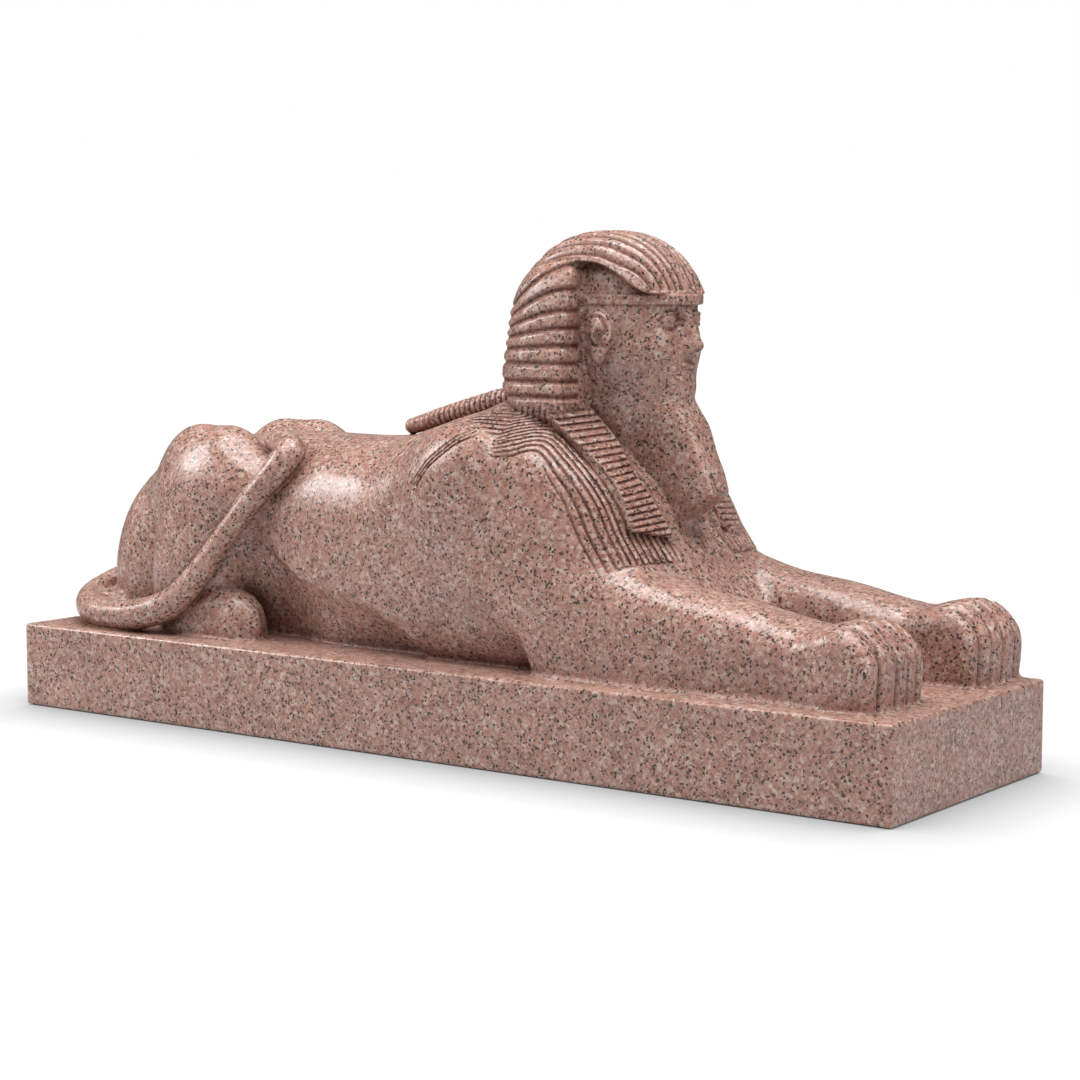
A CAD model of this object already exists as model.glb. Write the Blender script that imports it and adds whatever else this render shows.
"""A recumbent sphinx and its plinth, carved from one block of pink granite and polished.

The carving is one closed surface. Each form of it is a signed distance in millimetres, negative
inside the stone, worked out for whole arrays of points. A form is joined to, or cut from, the stone
so far, and the zero of the last distance is the surface. Forms are laid out about the sphinx's own
midplane: X ahead, Y to its left, Z up from the plinth's underside.
"""

import math

import bpy
import numpy as np
from mathutils import Matrix, Vector


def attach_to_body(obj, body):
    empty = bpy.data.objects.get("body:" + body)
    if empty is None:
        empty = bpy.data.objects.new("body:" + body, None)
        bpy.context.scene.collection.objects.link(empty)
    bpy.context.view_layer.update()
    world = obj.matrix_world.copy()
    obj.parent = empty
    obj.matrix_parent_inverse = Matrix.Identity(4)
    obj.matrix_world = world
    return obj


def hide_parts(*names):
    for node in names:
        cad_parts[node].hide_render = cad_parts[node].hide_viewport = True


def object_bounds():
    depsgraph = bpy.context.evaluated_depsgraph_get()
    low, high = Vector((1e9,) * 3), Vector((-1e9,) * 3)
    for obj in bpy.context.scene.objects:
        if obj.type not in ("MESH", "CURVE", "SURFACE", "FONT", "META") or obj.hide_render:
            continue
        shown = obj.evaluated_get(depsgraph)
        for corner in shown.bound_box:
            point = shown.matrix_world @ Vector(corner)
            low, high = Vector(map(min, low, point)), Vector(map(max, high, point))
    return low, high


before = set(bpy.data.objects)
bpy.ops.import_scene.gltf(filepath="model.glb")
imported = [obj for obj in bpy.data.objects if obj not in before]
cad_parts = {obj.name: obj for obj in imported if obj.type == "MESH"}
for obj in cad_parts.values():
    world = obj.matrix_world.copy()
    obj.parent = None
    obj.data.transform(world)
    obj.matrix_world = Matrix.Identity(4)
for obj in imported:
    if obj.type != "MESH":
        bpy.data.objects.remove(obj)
cad_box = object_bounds()

# ---- The block
# One sawn block of granite. The plinth is the part left whole under the figure, 800 mm long, with
# its edges eased. The figure stands a little to the left of its middle.

METRE = 1000.0
low, high = (np.array(corner) * METRE for corner in cad_box)
LENGTH, WIDTH, HEIGHT = high - low
FIGURE_Y = 8.0
GROUND = 67.0  # the plinth's top
EASED = 2.5
FAR = 1e3

steps = []  # the carving's steps, in order: [how, form, box, blend radius]


def carve(how, form, box, radius=0.0):
    """Adds a step: 'join' or 'cut' a form, a function of x, y, z arrays, or 'work' the stone so far.

    The box, [low corner, high corner], holds all that the step touches. The two sides of a join or
    a cut run into each other over the blend radius.
    """
    steps.append((how, form, np.array(box, float), radius))


def smaller(a, b, radius):
    """The lesser of two distances, rounded: min(a, b) - h^2 * radius / 4, h = 1 - |a - b| / radius."""
    radius = np.maximum(radius, 1e-6)
    h = np.maximum(radius - np.abs(a - b), 0) / radius
    return np.minimum(a, b) - h * h * radius / 4


def larger(a, b, radius=0.0):
    """The greater of two distances, rounded in the same way."""
    return -smaller(-a, -b, radius)


def stone(points):
    """The signed distance of the whole carving at an array of points, step by step."""
    distance = np.full(len(points), FAR)
    for how, form, box, radius in steps:
        reach = 14 + radius
        near = np.all((points > box[0] - reach) & (points < box[1] + reach), axis=1)
        if not near.any():
            continue
        x, y, z = points[near].T
        if how == "join":
            distance[near] = smaller(distance[near], form(x, y, z), radius)
        elif how == "cut":
            distance[near] = larger(distance[near], -form(x, y, z), radius)
        else:
            distance[near] = form(x, y, z, distance[near])
    return distance


def block(x, y, z, middle, half, eased):
    """A box with rounded edges: |max(q, 0)| + min(max(q), 0) - eased, q = |p - middle| - half + eased."""
    q = [np.abs(v - m) - h + eased for v, m, h in zip((x, y, z), middle, half)]
    outside = np.sqrt(sum(np.maximum(v, 0) ** 2 for v in q))
    return outside + np.minimum(np.maximum(np.maximum(q[0], q[1]), q[2]), 0) - eased


def plinth(x, y, z):
    """The slab, from its underside to the ground that the figure lies on."""
    return block(x, y + FIGURE_Y, z, (0, 0, GROUND / 2), (LENGTH / 2, WIDTH / 2, GROUND / 2), EASED)


carve("join", plinth, [(-400, -122, 0), (400, 106, GROUND)])

# ---- The trunk
# The lion's body from the rump to between the shoulders, hollow-backed, and swelling to the
# shoulders. It is carved and polished smooth.


def through(rows):
    """Monotone cubic curves through rows [t, value, value, ...], as a function of an array of t.

    Each slope is the harmonic mean of its neighbours' rises, and 0 where they differ in sign, so
    nothing overshoots.
    """
    table = np.array(rows, float)
    t, values = table[:, 0], table[:, 1:]
    gap = np.diff(t)[:, None]
    rise = np.diff(values, axis=0) / gap
    slope = np.vstack([rise[:1], np.zeros_like(rise[1:]), rise[-1:]])
    product = rise[:-1] * rise[1:]
    total = rise[:-1] + rise[1:]
    slope[1:-1] = np.where(product > 0, 2 * product / np.where(product > 0, total, 1), 0)

    def at(where):
        i = np.clip(np.searchsorted(t, where, side="right") - 1, 0, len(t) - 2)
        width = gap[i]
        u = np.clip((where - t[i]) / width[:, 0], 0, 1)[:, None]
        start = 2 * u**3 - 3 * u**2 + 1
        found = values[i] * start + values[i + 1] * (1 - start)
        found += width * (slope[i] * (u**3 - 2 * u**2 + u) + slope[i + 1] * (u**3 - u**2))
        return found.T

    return at


def section(across, up, half, rise, power):
    """Distance from a superellipse: (r - 1) / |grad r|, r = (|across/half|^p + |up/rise|^p)^(1/p)."""
    a = np.abs(across) / half + 1e-6
    b = np.abs(up) / rise + 1e-6
    r = (a**power + b**power) ** (1 / power)
    slope = np.hypot((a / r) ** (power - 1) / half, (b / r) ** (power - 1) / rise)
    return (r - 1) / slope


def along_x(rows, ease=6.0):
    """A form laid along X, by rows [x, middle y, half width, top, widest height, bottom, power]."""
    at = through(rows)

    def form(x, y, z):
        middle, half, top, waist, bottom, power = at(x)
        up = z - waist
        rise = np.where(up > 0, top - waist, waist - bottom)
        side = section(y - middle, up, half, rise, power)
        return larger(side, np.maximum(rows[0][0] - x, x - rows[-1][0]), ease)

    return form


def along_z(rows, ease=6.0):
    """A form stacked along Z, by rows [z, middle x, reach ahead, reach behind, half width, power]."""
    at = through(rows)

    def form(x, y, z):
        middle, ahead, behind, half, power = at(z)
        along = x - middle
        side = section(along, y, np.where(along > 0, ahead, behind), half, power)
        return larger(side, np.maximum(rows[0][0] - z, z - rows[-1][0]), ease)

    return form


TRUNK = [
    [-330, 0, 40, 190, 140, 55, 2.3],
    [-280, 0, 62, 218, 142, 55, 2.4],
    [-200, 0, 72, 227, 144, 40, 2.5],
    [-130, 0, 80, 226, 144, 22, 2.5],
    [-80, 0, 87, 228, 144, 20, 2.6],
    [-40, 0, 93, 238, 152, 26, 2.8],
    [0, 0, 97, 250, 160, 44, 2.9],
    [40, 0, 99, 258, 162, 48, 3],
    [72, 0, 100, 256, 158, 50, 3],
    [95, 0, 90, 242, 150, 60, 3],
]
trunk = along_x(TRUNK)
flank_fold = through([
    [-230, 200],
    [-186, 151],
    [-176, 141],
    [-154, 124],
    [-133, 112],
    [-101, 105],
    [-60, 97],
    [-20, 80],
])


def flank_hollow(x, y, z):
    """A wedge cut up under the flank's fold, and inwards to the belly."""
    wall = 63 + (0.33 + 0.25 * smooth(x, -130, -70)) * (z - 67) - 16 * smooth(x, -112, -172)
    fold = (z - flank_fold(x)[0]) * 0.8
    front = (x + 20) * 0.85 + (z - 80) * 0.5
    return larger(larger(fold, front, 14), wall - np.abs(y), 6)


def body(x, y, z):
    """The trunk with the two hollows cut out of its flanks."""
    return larger(trunk(x, y, z), -flank_hollow(x, y, z), 9)


carve("join", body, [(-330, -100, 20), (95, 100, 258)], 5)

# ---- Breast and shoulders
# The deep breast leans forward to where the forelegs leave it, and the shoulders stand out beside
# it. Its left side sits a little ahead of its right.

STAGGER = 0.06


def staggered(form):
    """The form on both sides of the midplane, each point carried ahead by a share of its Y."""
    return lambda x, y, z: form(x - STAGGER * y, np.abs(y), z)


def smooth(value, start, end):
    """The smooth step 3u^2 - 2u^3 from start to end."""
    u = np.clip((value - start) / (end - start), 0, 1)
    return u * u * (3 - 2 * u)


def valley(value, width):
    """A groove's depth, from 1 at its middle to 0 at its width, as (1 - |v| / width)^1.5."""
    return np.maximum(1 - np.abs(value) / width, 0) ** 1.5


BREAST = [
    [50, 116, 66, 20, 66, 4],
    [90, 104, 82, 26, 90, 4.2],
    [108, 92, 98, 44, 98, 4.5],
    [128, 78, 116, 70, 100, 4.4],
    [148, 72, 112, 100, 99.5, 4],
    [168, 72, 99, 110, 99, 3.8],
    [190, 70, 90, 104, 98, 3.5],
    [212, 66, 76, 84, 96, 3.2],
    [232, 60, 60, 60, 88, 2.8],
    [246, 54, 46, 38, 72, 2.5],
    [258, 48, 30, 22, 46, 2.3],
]
carve("join", staggered(along_z(BREAST)), [(-44, -104, 50), (200, 104, 262)], 10)


def egg(x, y, z, middle, half, lean=0.0, power=2.0):
    """An ellipsoid leaning about Y, squarer at a higher power n: (k - 1) / |grad k|.

    There k is the n-th root of the sum of |p / half|^n.
    """
    cos, sin = math.cos(lean), math.sin(lean)
    px, py, pz = x - middle[0], y - middle[1], z - middle[2]
    px, pz = cos * px - sin * pz, sin * px + cos * pz
    a, b, c = (np.abs(p) / h + 1e-9 for p, h in zip((px, py, pz), half))
    k = (a**power + b**power + c**power) ** (1 / power)
    slope = sum(((v / k) ** (power - 1) / h) ** 2 for v, h in zip((a, b, c), half))
    return (k - 1) / np.sqrt(slope)


def shoulder_blade(x, y, z):
    """The blade's bump, high on the side of the shoulder."""
    return egg(x, y, z, (26, 74, 195), (47, 27, 46), 0.5)


carve("join", staggered(shoulder_blade), [(-40, -104, 130), (90, 104, 244)], 18)
BLADE_EDGE = [
    [3.6, 198.4],
    [8.7, 205],
    [15.8, 213.3],
    [27.5, 223.3],
    [36.2, 230.2],
    [45, 234.3],
    [53, 236.4],
    [59.3, 235.4],
    [64.2, 230.7],
    [68.4, 224],
    [71, 212],
]
blade_edge = through(BLADE_EDGE)


def under_blade(ahead, z):
    """How far below the bump's edge a point is, and below 0 outside it."""
    rear, front = BLADE_EDGE[0][0], BLADE_EDGE[-1][0]
    off = np.full(len(z), FAR)
    for along in np.linspace(rear, front, 70):
        off = np.minimum(off, np.hypot(ahead - along, z - blade_edge(np.array([along]))[0]))
    return np.where((z < blade_edge(ahead)[0]) & (ahead > 0) & (ahead < front), off, -off)


def blade_rim(x, y, z, stone_so_far):
    """The bump's upper edge stands proud, and three grooves run close round it and fade ahead."""
    ahead = x - STAGGER * y
    under = under_blade(ahead, z)
    step = 2.4 * smooth(under, -0.6, 2.2) * smooth(under, 34, 6)
    step *= smooth(ahead, 0, 16) * smooth(ahead, 72, 58)
    groove = 1.9 * valley(under, 1.9) * smooth(ahead, 60, 36)
    groove += 1.2 * valley(under + 3.2, 1.4) * smooth(ahead, 48, 30)
    groove += 0.9 * valley(under + 5.9, 1.3) * smooth(ahead, 44, 26)
    skin = smooth(np.abs(stone_so_far), 7, 4) * smooth(np.abs(y), 64, 74)
    return stone_so_far - (step - groove) * skin


def blade_lines(x, y, z):
    """The count of the grooves, outwards from the edge, and how strong they are."""
    ahead = x - STAGGER * y
    count = np.interp(-under_blade(ahead, z), (-1.5, 0, 3.2, 5.9, 7.4), (-0.5, 0, 1, 2, 2.5))
    return count, smooth(ahead, 56, 34) * smooth(np.abs(y), 64, 74)


carve("work", blade_rim, [(-6, -106, 150), (78, 106, 250)])
fine_cuts = [(blade_lines, [(-6, -106, 180), (60, 106, 250)])]  # later ones lie over earlier ones

# ---- Mantle
# Fine strands run from behind the head over each shoulder and down to a hem across the breast. The
# outer ones are only cut in, and the inner ones stand a little proud, above the hem.

MANTLE = {"hem": 149.6, "proud": 2.0, "groove": 1.7, "count": 13}
breast_front = through([[z, middle + ahead] for z, middle, ahead, *_ in BREAST])


def strand_number(x, side, z):
    """How many strands in from the outermost a point is, first over the shoulder, then down the breast.

    Over the shoulder the strands fan out from a point behind the bump. Down the breast they are
    even steps of the distance round it: the distance aside plus 0.8 of that behind its front.
    """
    round_breast = side + 0.8 * (breast_front(z)[0] - x)
    down = np.maximum((116 - round_breast) / 8.7, 3 + (90 - round_breast) / 6.2)
    width = side - 0.9 * (z - 228)
    pitch = 3.6 + 0.155 * np.clip(x - 66, 0, 34)
    over = np.minimum((104 - width) / pitch, 6 + (104 - 6 * pitch - width) / 6.5)
    share = smooth(x, 78, 118)
    return over + (down - over) * share


def mantle_lines(x, y, z):
    """The count of the cuts, inwards from the outermost, and how strong they are."""
    ahead = x - STAGGER * y
    number = strand_number(ahead, np.abs(y), z)
    hem = MANTLE["hem"] - 10 * np.exp(-np.maximum(number, -0.5) / 1.6)
    above = smooth(z, hem - 0.9, hem + 0.9)
    within = smooth(number, MANTLE["count"] + 0.3, MANTLE["count"] - 0.1) * smooth(number, -0.4, 0.2)
    start = 65 - 9 * np.clip(number - 6, 0, 9)
    rear = smooth(ahead, start - 2 - 3 * np.clip(number - 5, 0, 9), start + 8)
    outer = np.maximum(smooth(number, 0.4, 0.9), smooth(z, 218, 206))
    return number, above * within * rear * outer


def mantle(x, y, z, stone_so_far):
    """The strands stand a little proud above the hem, each parted from the next by a narrow cut."""
    number, share = mantle_lines(x, y, z)
    strand = valley((number + 0.5) % 1 - 0.5, 0.34)
    raised = MANTLE["proud"] * smooth(number, 0, 2.5) * smooth(x - STAGGER * y, 96, 120)
    skin = smooth(np.abs(stone_so_far), 7, 4)
    return stone_so_far - share * skin * (raised - MANTLE["groove"] * strand)


carve("work", mantle, [(-50, -104, 130), (200, 104, 268)])
fine_cuts.append((mantle_lines, [(-50, -104, 130), (200, 104, 268)]))

# ---- Forelegs and paws
# The legs lie flat ahead of the breast, a hand's width apart, and end in square paws. The upper
# arm's underside climbs back from the elbow, so the belly shows behind it.

FORELEG = [
    [30, 60, 26, 160, 142, 128, 2.4],
    [58, 63, 34, 172, 128, 105, 2.5],
    [92, 66, 36, 176, 116, 84, 2.6],
    [106, 66, 36, 174, 110, 50, 2.6],
    [140, 66, 36, 160, 106, 20, 2.6],
    [175, 66, 35, 147, 102, 20, 2.6],
    [215, 66, 34, 136, 98, 20, 2.6],
    [260, 66, 33, 130, 96, 20, 2.6],
    [303, 66, 33, 121, 94, 20, 2.6],
    [330, 67, 33, 117, 92, 20, 2.6],
]
carve("join", staggered(along_x(FORELEG)), [(30, -108, 50), (334, 108, 180)], 7)
web_top = through([[156, 165], [184, 149], [196, 137], [208, 124], [219, 110], [228, 90], [236, 66]])


def web(x, y, z):
    """The stone left between the legs where they leave the breast, sloping down ahead."""
    return larger((z - web_top(x)[0]) * 0.7, np.abs(y) - 44, 2)


carve("join", web, [(140, -44, 50), (238, 44, 160)], 10)

PAW = {"inner": 31.0, "outer": 105.0, "front": 382.0, "ridge": 125.0, "toe_top": 104.0}
TOE_GAPS = (42.0, 56.0, 71.0, 90.0)
paw_ridge = through([
    [292, 92],
    [318, 112],
    [336, 121],
    [350, PAW["ridge"] - 0.5],
    [358, PAW["ridge"]],
    [366, 121],
    [374, 113],
    [380, PAW["toe_top"]],
    [386, PAW["toe_top"] - 14],
])


def toe_gap(y):
    """How far a point across the paw lies into the gap between two toes, from 0 to 1."""
    return sum(0.55 * valley(y - gap, 8) + 0.6 * valley(y - gap, 3) for gap in TOE_GAPS)


def paw(x, y, z):
    """A wedge of toes: below the ridge, inside the two flanks and behind the toes' fronts."""
    middle = (PAW["inner"] + PAW["outer"]) / 2
    across = (y - middle) / (PAW["outer"] - middle)
    gap = toe_gap(y)
    forward = smooth(x, 340, 366)
    height = paw_ridge(x)[0] - 9 * np.abs(across) ** 3 - 5 * gap * forward
    above = (z - height) * 0.86
    half = 37.5 - 14 * smooth(x, 352, 296)
    flank = np.abs(y - middle) - half + 2.5 * smooth(z, 84, 66) * forward
    front = PAW["front"] - 4 * across**2 - 3.8 * gap - 0.05 * (104 - z)
    return larger(larger(above, flank, 9), x - front, 6)


carve("join", staggered(paw), [(292, -110, 50), (386, 110, 128)], 5)

# ---- Haunches and hind feet
# The folded hind legs: a tall thigh with the hip over it, the buttock behind, and the long foot on
# the ground beside the belly. The flank's fold overhangs a hollow ahead of the foot.


def both(form):
    """The form on both sides of the midplane."""
    return lambda x, y, z: form(x, np.abs(y), z)


def haunch(x, y, z):
    """The thigh, the hip over it and the buttock behind, parted by a crease that fades upwards."""
    thigh = egg(x, y, z, (-250, 54, 135), (50, 44, 100), 0.25)
    hip = egg(x, y, z, (-224.5, 53, 180), (60, 36, 38), -0.03)
    rear = egg(x, y, z, (-256, 50, 175.5), (41.5, 35, 58.5), -0.32)
    buttock = egg(x, y, z, (-317.5, 29, 113.5), (55.5, 40.5, 84.5), 0.19)
    upper = smaller(smaller(thigh, hip, 16), rear, 14)
    return smaller(upper, buttock, 3 + 40 * smooth(z, 138, 188))


def hind_foot(x, y, z):
    """The foot on the ground: its length, and two toes at its end."""
    foot = egg(x, y, z, (-226, 76, 66), (46, 20.5, 40), power=2.8)
    foot = smaller(foot, egg(x, y, z, (-199, 90, 74), (8, 7, 17)), 3)
    return smaller(foot, egg(x, y, z, (-187, 80, 74), (9.5, 9, 19)), 2)


carve("join", both(haunch), [(-370, -100, 50), (-150, 100, 240)], 7)
carve("join", both(hind_foot), [(-274, -100, 50), (-174, 100, 108)], 4)

# ---- The tail
# A round tail runs from under the rump round the right haunch, and its tuft turns over on the back.

TAIL = [
    [-342, 22, 116, 12],
    [-368, 8, 107, 12.5],
    [-384, -26, 95, 12.5],
    [-380, -64, 84, 12.5],
    [-345, -93, 79, 12.5],
    [-298, -101, 79.5, 12.5],
    [-257, -101, 91, 12],
    [-233, -99, 110, 10.5],
    [-214, -93, 135, 9.5],
    [-196, -87, 160, 9],
    [-178, -80, 184, 9.5],
    [-163, -72, 203, 11.5],
    [-160, -63, 214, 12],
    [-170, -54, 219, 11],
    [-188, -48, 222, 9],
]


def spline(rows, count):
    """Points on a Catmull-Rom curve through the rows, all their columns alike."""
    knots = np.array(rows, float)
    knots = np.vstack([2 * knots[0] - knots[1], knots, 2 * knots[-1] - knots[-2]])
    t = np.linspace(0, len(rows) - 1, count)
    i = np.minimum(t.astype(int), len(rows) - 2)
    u = (t - i)[:, None]
    a, b, c, d = (knots[i + k] for k in range(4))
    return 0.5 * (2 * b + (c - a) * u + (2 * a - 5 * b + 4 * c - d) * u**2 + (3 * b - a - 3 * c + d) * u**3)


def rod(rows, count):
    """A round rod: the least over its short straight pieces of |p - nearest point| - radius."""
    path = spline(rows, count)

    def form(x, y, z):
        best = np.full(len(x), FAR)
        for start, end in zip(path[:-1], path[1:]):
            way = end - start
            px, py, pz = x - start[0], y - start[1], z - start[2]
            t = (px * way[0] + py * way[1] + pz * way[2]) / (way[:3] @ way[:3])
            t = np.clip(t, 0, 1)
            gap = np.sqrt((px - t * way[0]) ** 2 + (py - t * way[1]) ** 2 + (pz - t * way[2]) ** 2)
            best = np.minimum(best, gap - start[3] - t * way[3])
        return best

    return form


def tail_bed(x, y, z):
    """The stone left between the tail and the rump that it bends round."""
    return egg(x, y, z, (-358, -50, 76), (28, 40, 18))


carve("join", tail_bed, [(-386, -92, 66), (-314, 0, 96)], 5)
carve("join", rod(TAIL, 60), [(-398, -118, 66), (-132, 34, 240)], 3)

# ---- Skull, throat and beard
# The head is worked under its cloth. The throat runs down into the beard, a wedge that stands on
# the breast.

CHIN = 262.0
SKULL = [
    [254, 122, 32, 40, 22, 2.2],
    [266, 120, 46, 50, 31, 2.3],
    [282, 118, 49, 56, 37, 2.4],
    [300, 116, 51, 60, 40, 2.4],
    [328, 114, 52, 62, 41, 2.5],
    [350, 112, 46, 56, 38, 2.5],
    [368, 108, 32, 40, 26, 2.3],
]
THROAT = [
    [196, 92, 40, 20, 26, 2.4],
    [224, 96, 44, 30, 28, 2.4],
    [244, 104, 46, 40, 30, 2.4],
    [266, 112, 48, 50, 32, 2.4],
]
BEARD = [
    [170, 136, 30, 56, 16, 5],
    [182, 138, 45, 58, 16.5, 5],
    [194, 140, 57, 60, 17, 5],
    [206, 138, 56, 62, 18, 5],
    [224, 132, 54, 60, 20, 4.5],
    [241, 128, 52, 58, 22, 4],
    [256, 124, 46, 56, 24, 3.5],
    [268, 120, 42, 56, 26, 3],
]
beard_wedge = along_z(BEARD, 3)


def beard(x, y, z):
    """The wedge, with its underside cut on a slant that rises ahead."""
    return larger(beard_wedge(x, y, z), (188.5 - z) * 0.82 + (x - 188) * 0.57, 2.5)


carve("join", along_z(SKULL, 8), [(50, -42, 250), (172, 42, 372)], 4)
carve("join", along_z(THROAT, 8), [(60, -32, 190), (160, 32, 268)], 5)
carve("join", beard, [(72, -26, 166), (200, 26, 270)], 4)

# ---- The head cloth
# A nemes: a striped cloth over the crown, hanging behind and beside the face in two wings. The
# crown's stripes run back from the brow and round the head, and the wings' stripes lie level.

CROWN = {"middle": 100.0, "waist": 290.0, "top": 384.0, "ahead": 75.5, "behind": 77.5, "half": 62.0}
FRONT = 101.5  # the wings' flat front
CROWN_TURN = 93.0
crown_edge = through([
    [90, 359],
    [104, 361],
    [114, 360.5],
    [122, 358.5],
    [132, 354],
    [141, 348],
    [150, 341.5],
    [157, 338],
    [176, 337],
])


def crown(x, y, z):
    """A dome: (s - 1) / |grad s|, s = |along|^a + |across|^2.6 + |up|^2.2, cut along its front edge."""
    along = x - CROWN["middle"]
    reach = np.where(along > 0, CROWN["ahead"], CROWN["behind"])
    power = np.where(along > 0, 2.5, 2.2)
    rise = CROWN["top"] - CROWN["waist"]
    a = np.abs(along) / reach + 1e-6
    b = np.abs(y) / CROWN["half"] + 1e-6
    c = np.maximum(z - CROWN["waist"], 0) / rise + 1e-6
    s = a**power + b**2.6 + c**2.2
    slope = np.sqrt(
        (power * a ** (power - 1) / reach) ** 2
        + (2.6 * b**1.6 / CROWN["half"]) ** 2
        + (2.2 * c**1.2 / rise) ** 2
    )
    dome = (s - 1) / np.maximum(slope, 0.01)
    edge = larger((crown_edge(x)[0] - z) * 0.85, CROWN_TURN - x, 3)
    return larger(dome, np.minimum(edge, 340 - z + 60 * smooth(x, 80, 130)), 1.5)


WING = through([
    [236, 50, 96, 42],
    [244, 58, 98, 32],
    [249, 63, 100, 26],
    [258, 66, 101, 22],
    [280, 64.5, 101, 22],
    [300, 62, 101, 24],
    [325, 59.5, 101, 28],
    [340, 57, 101, 34],
    [350, 54, 101, 41],
    [358, 49, 98, 49],
    [365, 41, 92, 58],
])
wing_end = through([[10, 268], [34, 262], [46, 256], [57, 249], [68, 244], [78, 241], [91, 235], [104, 228]])


def wings(x, y, z):
    """A cloth block, round behind and flat in front, by height: half width, front and back."""
    half, front, back = WING(z)
    middle = 86.0
    along = np.where(x < middle, middle - x, 0)
    plan = section(along, y, middle - back, half, 2.5)
    end = (wing_end(x)[0] - z) * 0.85
    return larger(larger(plan, x - front - 0.05 * (62 - np.abs(y)), 2), larger(end, z - 364, 3), 11)


carve("join", wings, [(18, -70, 228), (106, 70, 366)], 3)
carve("join", crown, [(18, -64, 328), (176, 64, 386)], 3)

CROWN_STRIPES = (8.3, 16.6, 25, 33.3, 40.5)
WING_STRIPES = (358.7, 341, 326, 313.3, 300.7, 288, 275, 264)


def crown_reach(x, side):
    """How far out from the crown's middle line a point is: the cube root of aside^3 + behind^3."""
    legs = side / (1 - 0.2 * smooth(x, 128, 165))
    behind = 0.66 * np.maximum(95 - x, 0)
    return (legs**3 + behind**3) ** (1 / 3)


def crown_share(x, z):
    """Where the crown's stripes show: on its upper part, and clear of its front edge."""
    outside = smooth(z - np.where(x > CROWN_TURN + 4, crown_edge(x)[0], 240), 1.0, 3.0)
    return outside * smooth(z, 336, 346 - 8 * smooth(x, 110, 150))


def wing_levels(x):
    """Each wing groove's height: level at the front edge, and falling behind, the upper ones most."""
    fall = 0.5 - 0.5 * np.cos(np.pi * np.clip((FRONT - x) / 76, 0, 1))
    return [height - 33 * max((height - 288) / 70.7, 0) ** 1.4 * fall for height in WING_STRIPES]


def beside_face(x, side):
    """1 on the cloth's outside, and 0 on the wings' flat front and between them."""
    inner = 42 * smooth(x, 78, 94)
    return smooth(side, inner - 1, inner + 2)


def cloth_stripes(x, y, z, stone_so_far):
    """Rounded pleats: grooves round the crown at their reaches, and down the wings at their levels."""
    side = np.abs(y)
    reach = crown_reach(x, side)
    over = np.zeros_like(x)
    for middle in CROWN_STRIPES:
        over = np.maximum(over, valley(reach - middle, 3.2))
    lower = np.zeros_like(x)
    for level in wing_levels(x):
        lower = np.maximum(lower, valley(z - level, 3.6))
    lower *= smooth(x, FRONT + 2, FRONT - 1) * beside_face(x, side)
    skin = smooth(np.abs(stone_so_far), 6, 3)
    return stone_so_far + np.maximum(over * 2.0 * crown_share(x, z), lower * 2.2) * skin


def cloth_lines(x, y, z):
    """The count of the grooves, over the crown from its middle, then down the wings."""
    side = np.abs(y)
    reach = crown_reach(x, side)
    over = np.interp(reach, (0, *CROWN_STRIPES, 48), (0.45, 1, 2, 3, 4, 5, 5.9))
    level = wing_levels(x)
    down = np.clip((level[-1] - z) / 12, 0, 0.5) - np.clip((z - level[0]) / 12, 0, 0.5)
    for upper, lower in zip(level[:-1], level[1:]):
        down += np.clip((upper - z) / (upper - lower), 0, 1)
    down_share = smooth(x, FRONT + 3, FRONT + 1) * beside_face(x, side)
    crowned = (reach < 44.5) & (z > 330)
    return np.where(crowned, over, down), np.where(crowned, crown_share(x, z), down_share)


carve("work", cloth_stripes, [(18, -70, 256), (176, 70, 386)])
fine_cuts.append((cloth_lines, [(18, -68, 258), (176, 68, 386)]))

# ---- The face
# The face is calm and general, set out by the usual thirds from brow to chin, and its features are
# even from side to side. Two ears stand out before the cloth.

FACE = 168.0  # how far ahead the front of the face reaches
THIRD = 33.6
NOSE_BASE = CHIN + THIRD
BROW = NOSE_BASE + THIRD
EYE_LINE = BROW - 0.28 * THIRD
MOUTH = CHIN + 0.66 * THIRD
nose_line = through([
    [NOSE_BASE - 2, FACE + 2, 6.5],
    [NOSE_BASE + 1, FACE + 9, 8.5],
    [NOSE_BASE + 5, FACE + 11.5, 8.2],
    [NOSE_BASE + 12, FACE + 8.5, 5.6],
    [EYE_LINE, FACE + 2, 4.2],
    [BROW, FACE - 2, 5.5],
    [BROW + 6, FACE - 6, 8],
])


def nose(x, y, z):
    """The nose, by its bridge's reach ahead and half width at each height."""
    tip, half = nose_line(z)
    ridge = section(x - (FACE - 8), y, np.maximum(tip - FACE + 8, 2), half, 2.2)
    return larger(ridge, np.maximum(NOSE_BASE - 2 - z, z - BROW - 6), 3)


def mouth(x, y, z):
    """Two full lips, drawn in towards their corners."""
    bow = MOUTH + 0.004 * y * y
    back = FACE - 5.5 - 0.022 * y * y
    upper = egg(x - back, y, z - bow, (0, 0, 2.5), (8, 14, 3.4))
    lower = egg(x - back, y, z - bow, (-0.6, 0, -3.3), (8, 12, 4))
    return smaller(upper, lower, 0.8)


def cheeks_and_chin(x, y, z):
    """The chin's ball, and a cheek at each side."""
    chin = egg(x, y, z, (FACE - 12, 0, CHIN + 8), (13, 13, 10))
    return smaller(chin, egg(x, np.abs(y), z, (FACE - 24, 19, NOSE_BASE + 4), (17, 15, 17)), 6)


def eye_socket(x, y, z):
    """The hollow under the brow that an eye lies in."""
    return egg(x, y, z, (FACE + 2.5, 16.5, EYE_LINE - 0.5), (12, 13, 8.5))


def eyeball(x, y, z):
    """The ball of the eye."""
    return egg(x, y, z, (FACE - 15, 16, EYE_LINE), (12.5, 11.5, 9.5))


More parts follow.
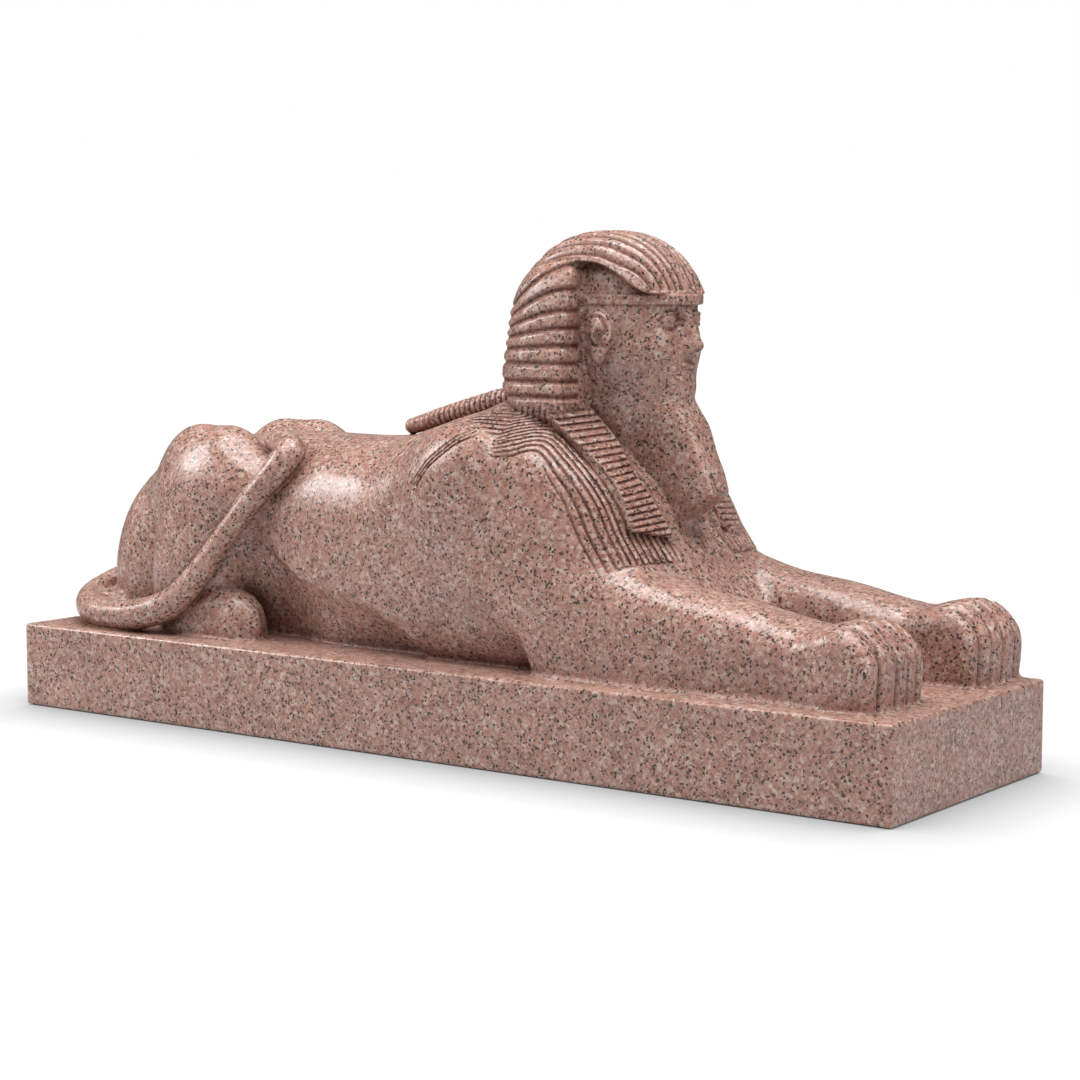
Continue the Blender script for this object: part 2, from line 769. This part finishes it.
def eyelids(x, y, z, stone_so_far):
    """An almond rim round each eye: a ridge at the height 5.2 (1 - (y / 12.5)^2)^0.8, a groove inside."""
    across = np.abs(y) - 16.5
    rim = 5.2 * np.maximum(1 - (across / 12.5) ** 2, 0) ** 0.8
    off = np.abs(z - EYE_LINE + 0.06 * across) - rim
    here = smooth(np.abs(across), 14, 12) * smooth(x, FACE - 34, FACE - 26)
    lid = np.exp(-((off / 1.1) ** 2)) * 1.1
    ball = np.exp(-(((off + 2.1) / 0.9) ** 2)) * 0.7
    return stone_so_far + (ball - lid) * here


def brows(x, y, z):
    """A low ridge over each eye, following the head's round."""
    side = np.abs(y)
    arch = BROW - 0.5 - 0.012 * (side - 15) ** 2
    line = FACE - 5.5 - 0.023 * side * side
    return np.sqrt(((x - line) / 1.5) ** 2 + (z - arch) ** 2 + np.maximum(side - 27, 0) ** 2) - 2.4


carve("join", cheeks_and_chin, [(120, -36, 250), (172, 36, 318)], 10)
carve("cut", both(eye_socket), [(150, -32, 308), (184, 32, 332)], 5)
carve("join", both(eyeball), [(140, -30, 308), (168, 30, 332)], 1.5)
carve("join", nose, [(150, -12, 292), (182, 12, 338)], 5)
carve("join", mouth, [(145, -16, 274), (174, 16, 292)], 2)
carve("join", brows, [(130, -32, 318), (172, 32, 336)], 3)
carve("work", eyelids, [(134, -32, 310), (170, 32, 330)])


def ear(x, y, z):
    """A shell leaning against the cloth, with its rim, its bowl and its lobe."""
    shell = egg(x, y, z, (119, 42, 311), (11, 6.5, 15.5), -0.2)
    shell = smaller(shell, egg(x, y, z, (118.5, 43, 295), (5.5, 4.5, 7)), 5)
    trough = np.abs(egg(x, y, z, (119, 46, 311.5), (7.2, 9, 11.2), -0.2)) - 0.9
    shell = larger(shell, -larger(trough, 45 - y), 1.6)
    bowl = egg(x, y, z, (121.5, 49, 307), (4.2, 6, 7), -0.1)
    flap = egg(x, y, z, (126.5, 44.5, 305), (3, 4, 4.5))
    return smaller(larger(shell, -bowl, 1.6), flap, 1.5)


carve("join", both(ear), [(104, -52, 288), (134, 52, 328)], 2.5)

# ---- The headband
# A plain raised band crosses the brow under the cloth's edge.

BAND = {"low": 330.0, "high": 337.5, "front": 170.8, "half": 42.2}


def headband(x, y, z):
    """A flat hoop round the head, proud of it, with eased edges."""
    plan = section(x - 114, y, BAND["front"] - 114, BAND["half"], 2.5)
    return larger(plan, np.maximum(BAND["low"] - z, z - BAND["high"]), 1.6)


carve("join", headband, [(112, -46, 328), (173, 46, 340)], 0.8)

# ---- Lappets
# From each wing's front edge a narrow ribbed flap of the cloth hangs down over the breast.

LAPPET = through([
    [162, 176.8, 71, 182.8, 36],
    [172, 166.8, 71, 177.3, 36],
    [187, 161.3, 70, 166.8, 36],
    [197, 156.8, 69, 159.3, 36],
    [207, 149.8, 68, 149.8, 36],
    [217, 138.8, 68, 142.8, 36],
    [229, 123.3, 68, 135.8, 36],
    [243, 102.8, 68, 122.8, 36],
    [258, 87.8, 67, 106.8, 36],
])
RIB_PITCH = 4.35


def lappet_place(x, y, z):
    """How far a point is along from the outer edge to the inner, the width there, and how far ahead."""
    outer_x, outer_y, inner_x, inner_y = LAPPET(z)
    across_x, across_y = inner_x - outer_x, inner_y - outer_y
    width = np.hypot(across_x, across_y)
    along = ((x - outer_x) * across_x + (y - outer_y) * across_y) / width
    return along, width, (across_y * (outer_x - x) - across_x * (outer_y - y)) / width


def lappet_lines(x, y, z):
    """The count of the ribs up the lappet, and how strong the grooves between them are."""
    along, width, ahead = lappet_place(x, np.abs(y), z)
    share = smooth(along, 0.5, 3) * smooth(along, width - 0.5, width - 3) * smooth(ahead, -6, -3)
    return (z - 0.08 * along) / RIB_PITCH, share * smooth(z, 164, 168) * (ahead < 4)


def lappet(x, y, z):
    """A slab behind the line that joins its outer and inner edges at each height."""
    along, width, ahead = lappet_place(x, y, z)
    slope = 0.78
    level = z - 0.08 * along
    rib = valley((level + RIB_PITCH / 2) % RIB_PITCH - RIB_PITCH / 2, 1.5) * 1.6
    inside = smooth(along, 0, 2.5) * smooth(along, width, width - 2.5)
    face = ahead * slope + rib * inside
    sides = np.maximum(-along, along - width)
    end = 172 - 7 * np.clip(along / width, 0, 1) - z
    slab = larger(larger(face, -26 - ahead), sides, 3)
    return larger(slab, np.maximum(end * 0.8, z - 257), 3)


carve("join", both(lappet), [(76, -78, 160), (190, 78, 262)], 1.5)
fine_cuts.append((lappet_lines, [(90, -76, 163), (190, 76, 256)]))

# ---- The pigtail
# Behind the wings the cloth is drawn together in a ringed tail that tapers down the back.

PIGTAIL = [[26, 0, 261, 9.5], [0, 0, 257, 9.2], [-45, 0, 246, 8], [-87, 0, 234.5, 6.3]]
pigtail_rod = rod(PIGTAIL, 16)
RING_PITCH = 5.4


def pigtail(x, y, z):
    """The rod, with a groove round it at every ring."""
    ring = valley((x + 0.25 * z + RING_PITCH / 2) % RING_PITCH - RING_PITCH / 2, 2)
    return pigtail_rod(x, y, z) + 1.3 * ring * smooth(x, 24, 20) * (0.5 + 0.5 * smooth(x, -80, -50))


def pigtail_lines(x, y, z):
    """The count of the rings along the pigtail, and how strong the grooves between them are."""
    share = smooth(x, 24, 20) * smooth(x, -90, -50)
    return (x + 0.25 * z) / RING_PITCH, share * (pigtail_rod(x, y, z) < 0.5)


carve("join", pigtail, [(-98, -10, 226), (36, 10, 272)], 1.5)
fine_cuts.append((pigtail_lines, [(-90, -10, 226), (24, 10, 272)]))

# ---- The carved surface
# The whole block's surface is found on a fine grid, thinned to what its curves need, and set exactly
# on the carving again. Its shading follows the carving's own slope.

NODE = 1.5
SIDE = 4  # nodes along a coarse block's side
TRIANGLES = 190000


def gradient(points, step=0.25):
    """The slope of the distance, from its differences along each axis."""
    slope = np.empty_like(points)
    for axis in range(3):
        shift = np.zeros(3)
        shift[axis] = step
        slope[:, axis] = (stone(points + shift) - stone(points - shift)) / (2 * step)
    return slope


def settle(points, rounds):
    """Newton steps: each point moves by -distance * slope / |slope|^2, and at most 0.6 mm a round."""
    for _ in range(rounds):
        slope = gradient(points)
        steep = np.maximum((slope**2).sum(axis=1), 0.05)
        move = -stone(points)[:, None] * slope / steep[:, None]
        far = np.maximum(np.linalg.norm(move, axis=1, keepdims=True) / 0.6, 1)
        points = points + move / far
    return points


def sampled():
    """The distance on the grid, worked out only near the surface, and by coarse blocks elsewhere."""
    start = np.array([-LENGTH / 2, -WIDTH / 2 - FIGURE_Y, 0]) - NODE * 2.5
    blocks = np.ceil((np.array([LENGTH, WIDTH, HEIGHT]) + 5 * NODE) / (NODE * SIDE)).astype(int)
    cell = np.stack(np.meshgrid(*[np.arange(n) for n in blocks], indexing="ij"), -1).reshape(-1, 3)
    coarse = stone(start + (cell * SIDE + (SIDE - 1) / 2) * NODE)
    grid = coarse.astype(np.float32).reshape(blocks)
    for axis in range(3):
        grid = np.repeat(grid, SIDE, axis=axis)
    near = cell[np.abs(coarse) < NODE * SIDE * 1.35]
    corner = np.stack(np.meshgrid(*[np.arange(SIDE)] * 3, indexing="ij"), -1).reshape(-1, 3)
    for part in np.array_split(near, 40):
        node = (part[:, None] * SIDE + corner).reshape(-1, 3)
        grid[node[:, 0], node[:, 1], node[:, 2]] = stone(start + node * NODE)
    return start, grid


def surface_net(start, grid):
    """One point in each cell that the surface crosses, the mean of its edges' crossings.

    Every grid edge that the surface crosses gives a face of the four cells round it, wound so that
    it faces out of the stone.
    """
    inside = grid < 0
    shape = np.array(grid.shape) - 1

    def corner(array, offset):
        return array[tuple(slice(o, o + n) for o, n in zip(offset, shape))]

    offsets = [(i, j, k) for i in (0, 1) for j in (0, 1) for k in (0, 1)]
    total = sum(corner(inside, o).astype(np.int8) for o in offsets)
    cells = np.argwhere((total > 0) & (total < 8))
    values = {o: grid[tuple((cells + o).T)] for o in offsets}
    place = np.zeros((len(cells), 3))
    crossings = np.zeros(len(cells))
    for a in offsets:
        for axis in range(3):
            if a[axis]:
                continue
            b = tuple(v + (i == axis) for i, v in enumerate(a))
            crossed = (values[a] < 0) != (values[b] < 0)
            t = np.where(crossed, values[a] / np.where(crossed, values[a] - values[b], 1), 0)
            place += np.where(crossed[:, None], a, 0)
            place[:, axis] += t
            crossings += crossed
    place = start + (cells + place / crossings[:, None]) * NODE
    number = np.full(grid.shape, -1, np.int32)
    number[tuple(cells.T)] = np.arange(len(cells))
    faces = []
    for axis in range(3):
        one, two = (axis + 1) % 3, (axis + 2) % 3
        ahead = np.roll(inside, -1, axis)
        changed = inside != ahead
        changed[tuple(slice(-1, None) if i == axis else slice(None) for i in range(3))] = False
        edge = np.argwhere(changed)
        around = []
        for back_one, back_two in ((1, 1), (0, 1), (0, 0), (1, 0)):
            cell = edge.copy()
            cell[:, one] -= back_one
            cell[:, two] -= back_two
            around.append(number[tuple(cell.T)])
        quad = np.stack(around, 1)
        leaving = inside[tuple(edge.T)]
        faces.append(np.where(leaving[:, None], quad, quad[:, ::-1]))
    return place, np.concatenate(faces)


def thinned(points, faces):
    """The surface with fewer triangles, collapsed first where it is flattest."""
    mesh = bpy.data.meshes.new("sphinx_rough")
    mesh.from_pydata(points, [], faces)
    rough = bpy.data.objects.new("sphinx_rough", mesh)
    bpy.context.scene.collection.objects.link(rough)
    thin = rough.modifiers.new("thin", "DECIMATE")
    thin.ratio = TRIANGLES / (2 * len(faces))
    thin.use_collapse_triangulate = True
    found = bpy.data.meshes.new_from_object(rough.evaluated_get(bpy.context.evaluated_depsgraph_get()))
    bpy.data.objects.remove(rough)
    bpy.data.meshes.remove(mesh)
    return found


def hollowness(points, normals, reach):
    """How closed in each point is: 1 - distance / reach, where the distance is read that far off it."""
    found = stone(points + normals * reach)
    for axis in range(3):
        for sign in (-1, 1):
            shift = np.zeros(3)
            shift[axis] = sign * reach * 0.8
            found = np.minimum(found, stone(points + normals * reach + shift) + reach * 0.55)
    return np.clip(1 - found / reach, 0, 1)


def counted(points):
    """The fine cuts' running count at each point, whole where a cut's middle is, and their strength."""
    count, share = np.full(len(points), 0.5), np.zeros(len(points))
    for lines, box in fine_cuts:
        near = np.where(np.all((points > box[0]) & (points < box[1]), axis=1))[0]
        new_count, new_share = lines(*points[near].T)
        take = (new_share > 0.01) | (lines is cloth_lines)
        count[near[take]] = new_count[take]
        share[near[take]] = new_share[take]
    return count, share


def attach(mesh, name, values):
    """Keeps one number for each point on the mesh, under a name that the granite reads."""
    mesh.attributes.new(name, "FLOAT", "POINT").data.foreach_set("value", values)


def carved():
    """The finished mesh, in metres, with each point's normal from the carving's slope."""
    mesh = thinned(*surface_net(*sampled()))
    mesh.name = "sphinx_carved"
    points = np.empty(len(mesh.vertices) * 3)
    mesh.vertices.foreach_get("co", points)
    points = settle(points.reshape(-1, 3), 3)
    normals = gradient(points)
    normals /= np.maximum(np.linalg.norm(normals, axis=1, keepdims=True), 1e-6)
    for name, reach in (("cut", 1.6), ("recess", 7.0)):
        attach(mesh, name, hollowness(points, normals, reach))
    for name, values in zip(("cut_count", "cut_share"), counted(points)):
        attach(mesh, name, values)
    points[:, 1] += FIGURE_Y
    points = np.clip(points, low, high)
    mesh.vertices.foreach_set("co", (points / METRE).ravel())
    mesh.update()
    mesh.normals_split_custom_set_from_vertices(normals)
    return mesh


sphinx = bpy.data.objects.new("sphinx_carved", carved())
bpy.context.scene.collection.objects.link(sphinx)
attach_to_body(sphinx, "root")
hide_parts("sphinx_statue")

# ---- Granite
# Rose-pink granite of medium grain: pink feldspar, some of it paler, and black flecks of mica. It is
# polished, but the cuts stay duller, and they and the deep recesses are a warmer brown.

GRAIN = 1 / 0.0028  # crystals to a metre
granite = bpy.data.materials.new("rose_granite")
granite.use_nodes = True
nodes, links = granite.node_tree.nodes, granite.node_tree.links
shader = nodes["Principled BSDF"]


def add(kind, inputs=(), **settings):
    """A node of that kind. Each input is a value, or another node's output socket."""
    node = nodes.new(kind)
    for name, value in settings.items():
        setattr(node, name, value)
    for name, value in dict(inputs).items():
        if isinstance(value, bpy.types.NodeSocket):
            links.new(value, node.inputs[name])
        else:
            node.inputs[name].default_value = value
    return node


def ramp(value, stops, interpolation="LINEAR"):
    """A colour for each value: stops are (place, colour), grey where the colour is one number."""
    node = add("ShaderNodeValToRGB", {"Fac": value})
    node.color_ramp.interpolation = interpolation
    elements = node.color_ramp.elements
    while len(elements) < len(stops):
        elements.new(0.5)
    for element, (place, colour) in zip(elements, stops):
        element.position = place
        element.color = (colour,) * 3 + (1,) if isinstance(colour, (int, float)) else (*colour, 1)
    return node.outputs["Color"]


def blend(share, first, second, kind="MIX"):
    """One colour laid over another by a share."""
    node = add("ShaderNodeMix", data_type="RGBA", blend_type=kind)
    for socket, value in zip((node.inputs[0], node.inputs[6], node.inputs[7]), (share, first, second)):
        if isinstance(value, bpy.types.NodeSocket):
            links.new(value, socket)
        else:
            socket.default_value = value
    return node.outputs[2]


def crystals(place, scale, seed):
    """A random number for each crystal, and how near its middle a point is."""
    moved = add("ShaderNodeVectorMath", {0: place, 1: (seed, seed * 0.7, seed * 0.3)}, operation="ADD")
    cell = add("ShaderNodeTexVoronoi", {"Vector": moved.outputs[0], "Scale": scale, "Randomness": 1.0})
    split = add("ShaderNodeSeparateColor", {"Color": cell.outputs["Color"]})
    return split.outputs["Red"], cell.outputs["Distance"]


place = add("ShaderNodeTexCoord").outputs["Object"]
ragged = add("ShaderNodeTexNoise", {"Vector": place, "Scale": 420.0, "Detail": 2.0, "Roughness": 0.6})
middle = add("ShaderNodeVectorMath", {0: ragged.outputs["Color"], 1: (0.5, 0.5, 0.5)}, operation="SUBTRACT")
bent = add("ShaderNodeVectorMath", {0: middle.outputs[0], "Scale": 0.0034}, operation="SCALE")
grained = add("ShaderNodeVectorMath", {0: place, 1: bent.outputs[0]}, operation="ADD").outputs[0]

sort, _ = crystals(grained, GRAIN, 0.0)
feldspar = ramp(sort, [
    (0.0, (0.228, 0.109, 0.079)),
    (0.16, (0.306, 0.153, 0.115)),
    (0.36, (0.373, 0.192, 0.149)),
    (0.58, (0.422, 0.242, 0.193)),
    (0.74, (0.427, 0.298, 0.249)),
    (0.88, (0.524, 0.416, 0.362)),
], "CONSTANT")
fine, _ = crystals(grained, GRAIN * 2.1, 0.31)
stone_colour = blend(0.42, feldspar, ramp(fine, [
    (0.0, (0.209, 0.102, 0.073)),
    (0.22, (0.354, 0.183, 0.141)),
    (0.60, (0.441, 0.254, 0.206)),
    (0.84, (0.558, 0.439, 0.380)),
], "CONSTANT"))
cloudy = add("ShaderNodeTexNoise", {"Vector": place, "Scale": 38.0, "Detail": 3.0})
stone_colour = blend(0.55, stone_colour, ramp(cloudy.outputs["Fac"], [(0.3, 0.42), (0.7, 0.58)]), "OVERLAY")

fleck, near_middle = crystals(grained, GRAIN * 1.05, 0.57)
mica = add("ShaderNodeMath", {0: fleck, 1: 0.115}, operation="LESS_THAN")
within = add("ShaderNodeMath", {0: near_middle, 1: 0.42}, operation="LESS_THAN")
flecks = add("ShaderNodeMath", {0: mica.outputs[0], 1: within.outputs[0]}, operation="MULTIPLY").outputs[0]
speck, _ = crystals(grained, GRAIN * 1.9, 0.83)
specks = add("ShaderNodeMath", {0: speck, 1: 0.085}, operation="LESS_THAN").outputs[0]
dark = add("ShaderNodeMath", {0: flecks, 1: specks}, operation="MAXIMUM").outputs[0]
stone_colour = blend(dark, stone_colour, (0.046, 0.034, 0.028, 1))

# A fine cut's middle is where the count is whole, so its colour is a line however coarse the mesh.
count = add("ShaderNodeAttribute", attribute_name="cut_count").outputs["Fac"]
share = add("ShaderNodeAttribute", attribute_name="cut_share").outputs["Fac"]
half_count = add("ShaderNodeMath", {0: count, 1: 0.5}, operation="PINGPONG").outputs[0]
near_line = add("ShaderNodeMapRange", {"Value": half_count, "From Min": 0.26, "From Max": 0.04})
line = add("ShaderNodeMath", {0: near_line.outputs[0], 1: share}, operation="MULTIPLY").outputs[0]
cut = add("ShaderNodeAttribute", attribute_name="cut").outputs["Fac"]
recess = add("ShaderNodeAttribute", attribute_name="recess").outputs["Fac"]
brown = blend(ramp(cut, [(0.2, 0.0), (0.8, 0.7)]), stone_colour, (0.44, 0.23, 0.15, 1), "MULTIPLY")
brown = blend(ramp(recess, [(0.35, 0.0), (1.0, 0.6)]), brown, (0.54, 0.36, 0.28, 1), "MULTIPLY")
brown = blend(ramp(line, [(0.0, 0.0), (1.0, 0.85)]), brown, (0.38, 0.17, 0.10, 1), "MULTIPLY")
links.new(brown, shader.inputs["Base Color"])
polish = add("ShaderNodeTexNoise", {"Vector": place, "Scale": 24.0, "Detail": 2.0})
dull = blend(
    ramp(cut, [(0.05, 0.0), (0.5, 1.0)]),
    ramp(polish.outputs["Fac"], [(0.3, 0.17), (0.7, 0.28)]),
    (0.60, 0.60, 0.60, 1),
)
dull = blend(line, dull, (0.65, 0.65, 0.65, 1))
links.new(dull, shader.inputs["Roughness"])
depth = add("ShaderNodeMath", {0: line, 1: -1.0}, operation="MULTIPLY").outputs[0]
groove = add("ShaderNodeBump", {"Strength": 0.6, "Distance": 0.0009, "Height": depth})
links.new(groove.outputs["Normal"], shader.inputs["Normal"])
shader.inputs["IOR"].default_value = 1.52
sphinx.data.materials.append(granite)

# ---- Floor and light
# The block stands on a white sheet. A broad soft lamp hangs over it, a smaller one stands beside its
# tail, and a weak one before its paws.

floor_mesh = bpy.data.meshes.new("floor")
floor_mesh.from_pydata([(-60, -60, 0), (60, -60, 0), (60, 60, 0), (-60, 60, 0)], [], [(0, 1, 2, 3)])
floor = bpy.data.objects.new("floor", floor_mesh)
bpy.context.scene.collection.objects.link(floor)
white = bpy.data.materials.new("white_sheet")
white.use_nodes = True
sheet = white.node_tree.nodes
sheet_links = white.node_tree.links
paper = sheet["Principled BSDF"]
paper.inputs["Base Color"].default_value = (0.56, 0.56, 0.56, 1)
paper.inputs["Roughness"].default_value = 0.9
paper.inputs["Specular IOR Level"].default_value = 0.1
shade = sheet.new("ShaderNodeAmbientOcclusion")  # plainly white, but for a soft shade close to the plinth
shade.inputs["Distance"].default_value = 0.09
glow = sheet.new("ShaderNodeEmission")
glow.inputs["Strength"].default_value = 1.04
seen = sheet.new("ShaderNodeLightPath")
either = sheet.new("ShaderNodeMixShader")
sheet_links.new(shade.outputs["Color"], glow.inputs["Color"])
sheet_links.new(seen.outputs["Is Camera Ray"], either.inputs["Fac"])
sheet_links.new(paper.outputs["BSDF"], either.inputs[1])
sheet_links.new(glow.outputs["Emission"], either.inputs[2])
sheet_links.new(either.outputs["Shader"], sheet["Material Output"].inputs["Surface"])
floor_mesh.materials.append(white)
floor.location.z = -0.0005

world = bpy.data.worlds.new("studio")
world.use_nodes = True
sky = world.node_tree.nodes["Background"]
sky.inputs["Color"].default_value = (1, 1, 1, 1)
seen = world.node_tree.nodes.new("ShaderNodeLightPath")
strength = world.node_tree.nodes.new("ShaderNodeMapRange")  # plain white behind, and softer as light
strength.inputs["To Min"].default_value = 0.16
strength.inputs["To Max"].default_value = 1.0
world.node_tree.links.new(seen.outputs["Is Camera Ray"], strength.inputs["Value"])
world.node_tree.links.new(strength.outputs["Result"], sky.inputs["Strength"])
bpy.context.scene.world = world


def softbox(name, place, target, size, power):
    """A rectangular lamp, aimed at a point, all in metres and watts."""
    light = bpy.data.lights.new(name, "AREA")
    light.shape = "RECTANGLE"
    light.size, light.size_y = size
    light.energy = power
    lamp = bpy.data.objects.new(name, light)
    way = Vector(target) - Vector(place)
    lamp.matrix_world = Matrix.Translation(place) @ way.to_track_quat("-Z", "Y").to_matrix().to_4x4()
    bpy.context.scene.collection.objects.link(lamp)


softbox("overhead", (0.25, -0.2, 2.2), (0, 0, 0.2), (2.4, 2.0), 84)
softbox("beside_tail", (-1.35, -0.75, 1.05), (-0.1, 0, 0.2), (0.7, 0.7), 17)
softbox("before_paws", (1.9, -0.2, 0.9), (0.3, 0, 0.1), (1.0, 0.8), 9)

# ---- Camera
# A long lens, low and to the front right of the sphinx.

AZIMUTH, ELEVATION = math.radians(35.934), math.radians(5.960)
AIM = Vector((41.5, 0, 153.4)) / METRE
DISTANCE = 1.832
back = Vector((
    math.sin(AZIMUTH) * math.cos(ELEVATION),
    -math.cos(AZIMUTH) * math.cos(ELEVATION),
    math.sin(ELEVATION),
))
lens = bpy.data.cameras.new("camera")
lens.sensor_width = 36
lens.lens = 81.2
camera = bpy.data.objects.new("camera", lens)
turn = back.to_track_quat("Z", "Y").to_matrix().to_4x4()
camera.matrix_world = Matrix.Translation(AIM + back * DISTANCE) @ turn
bpy.context.scene.collection.objects.link(camera)
bpy.context.scene.camera = camera

bpy.context.scene.view_settings.view_transform = "Standard"
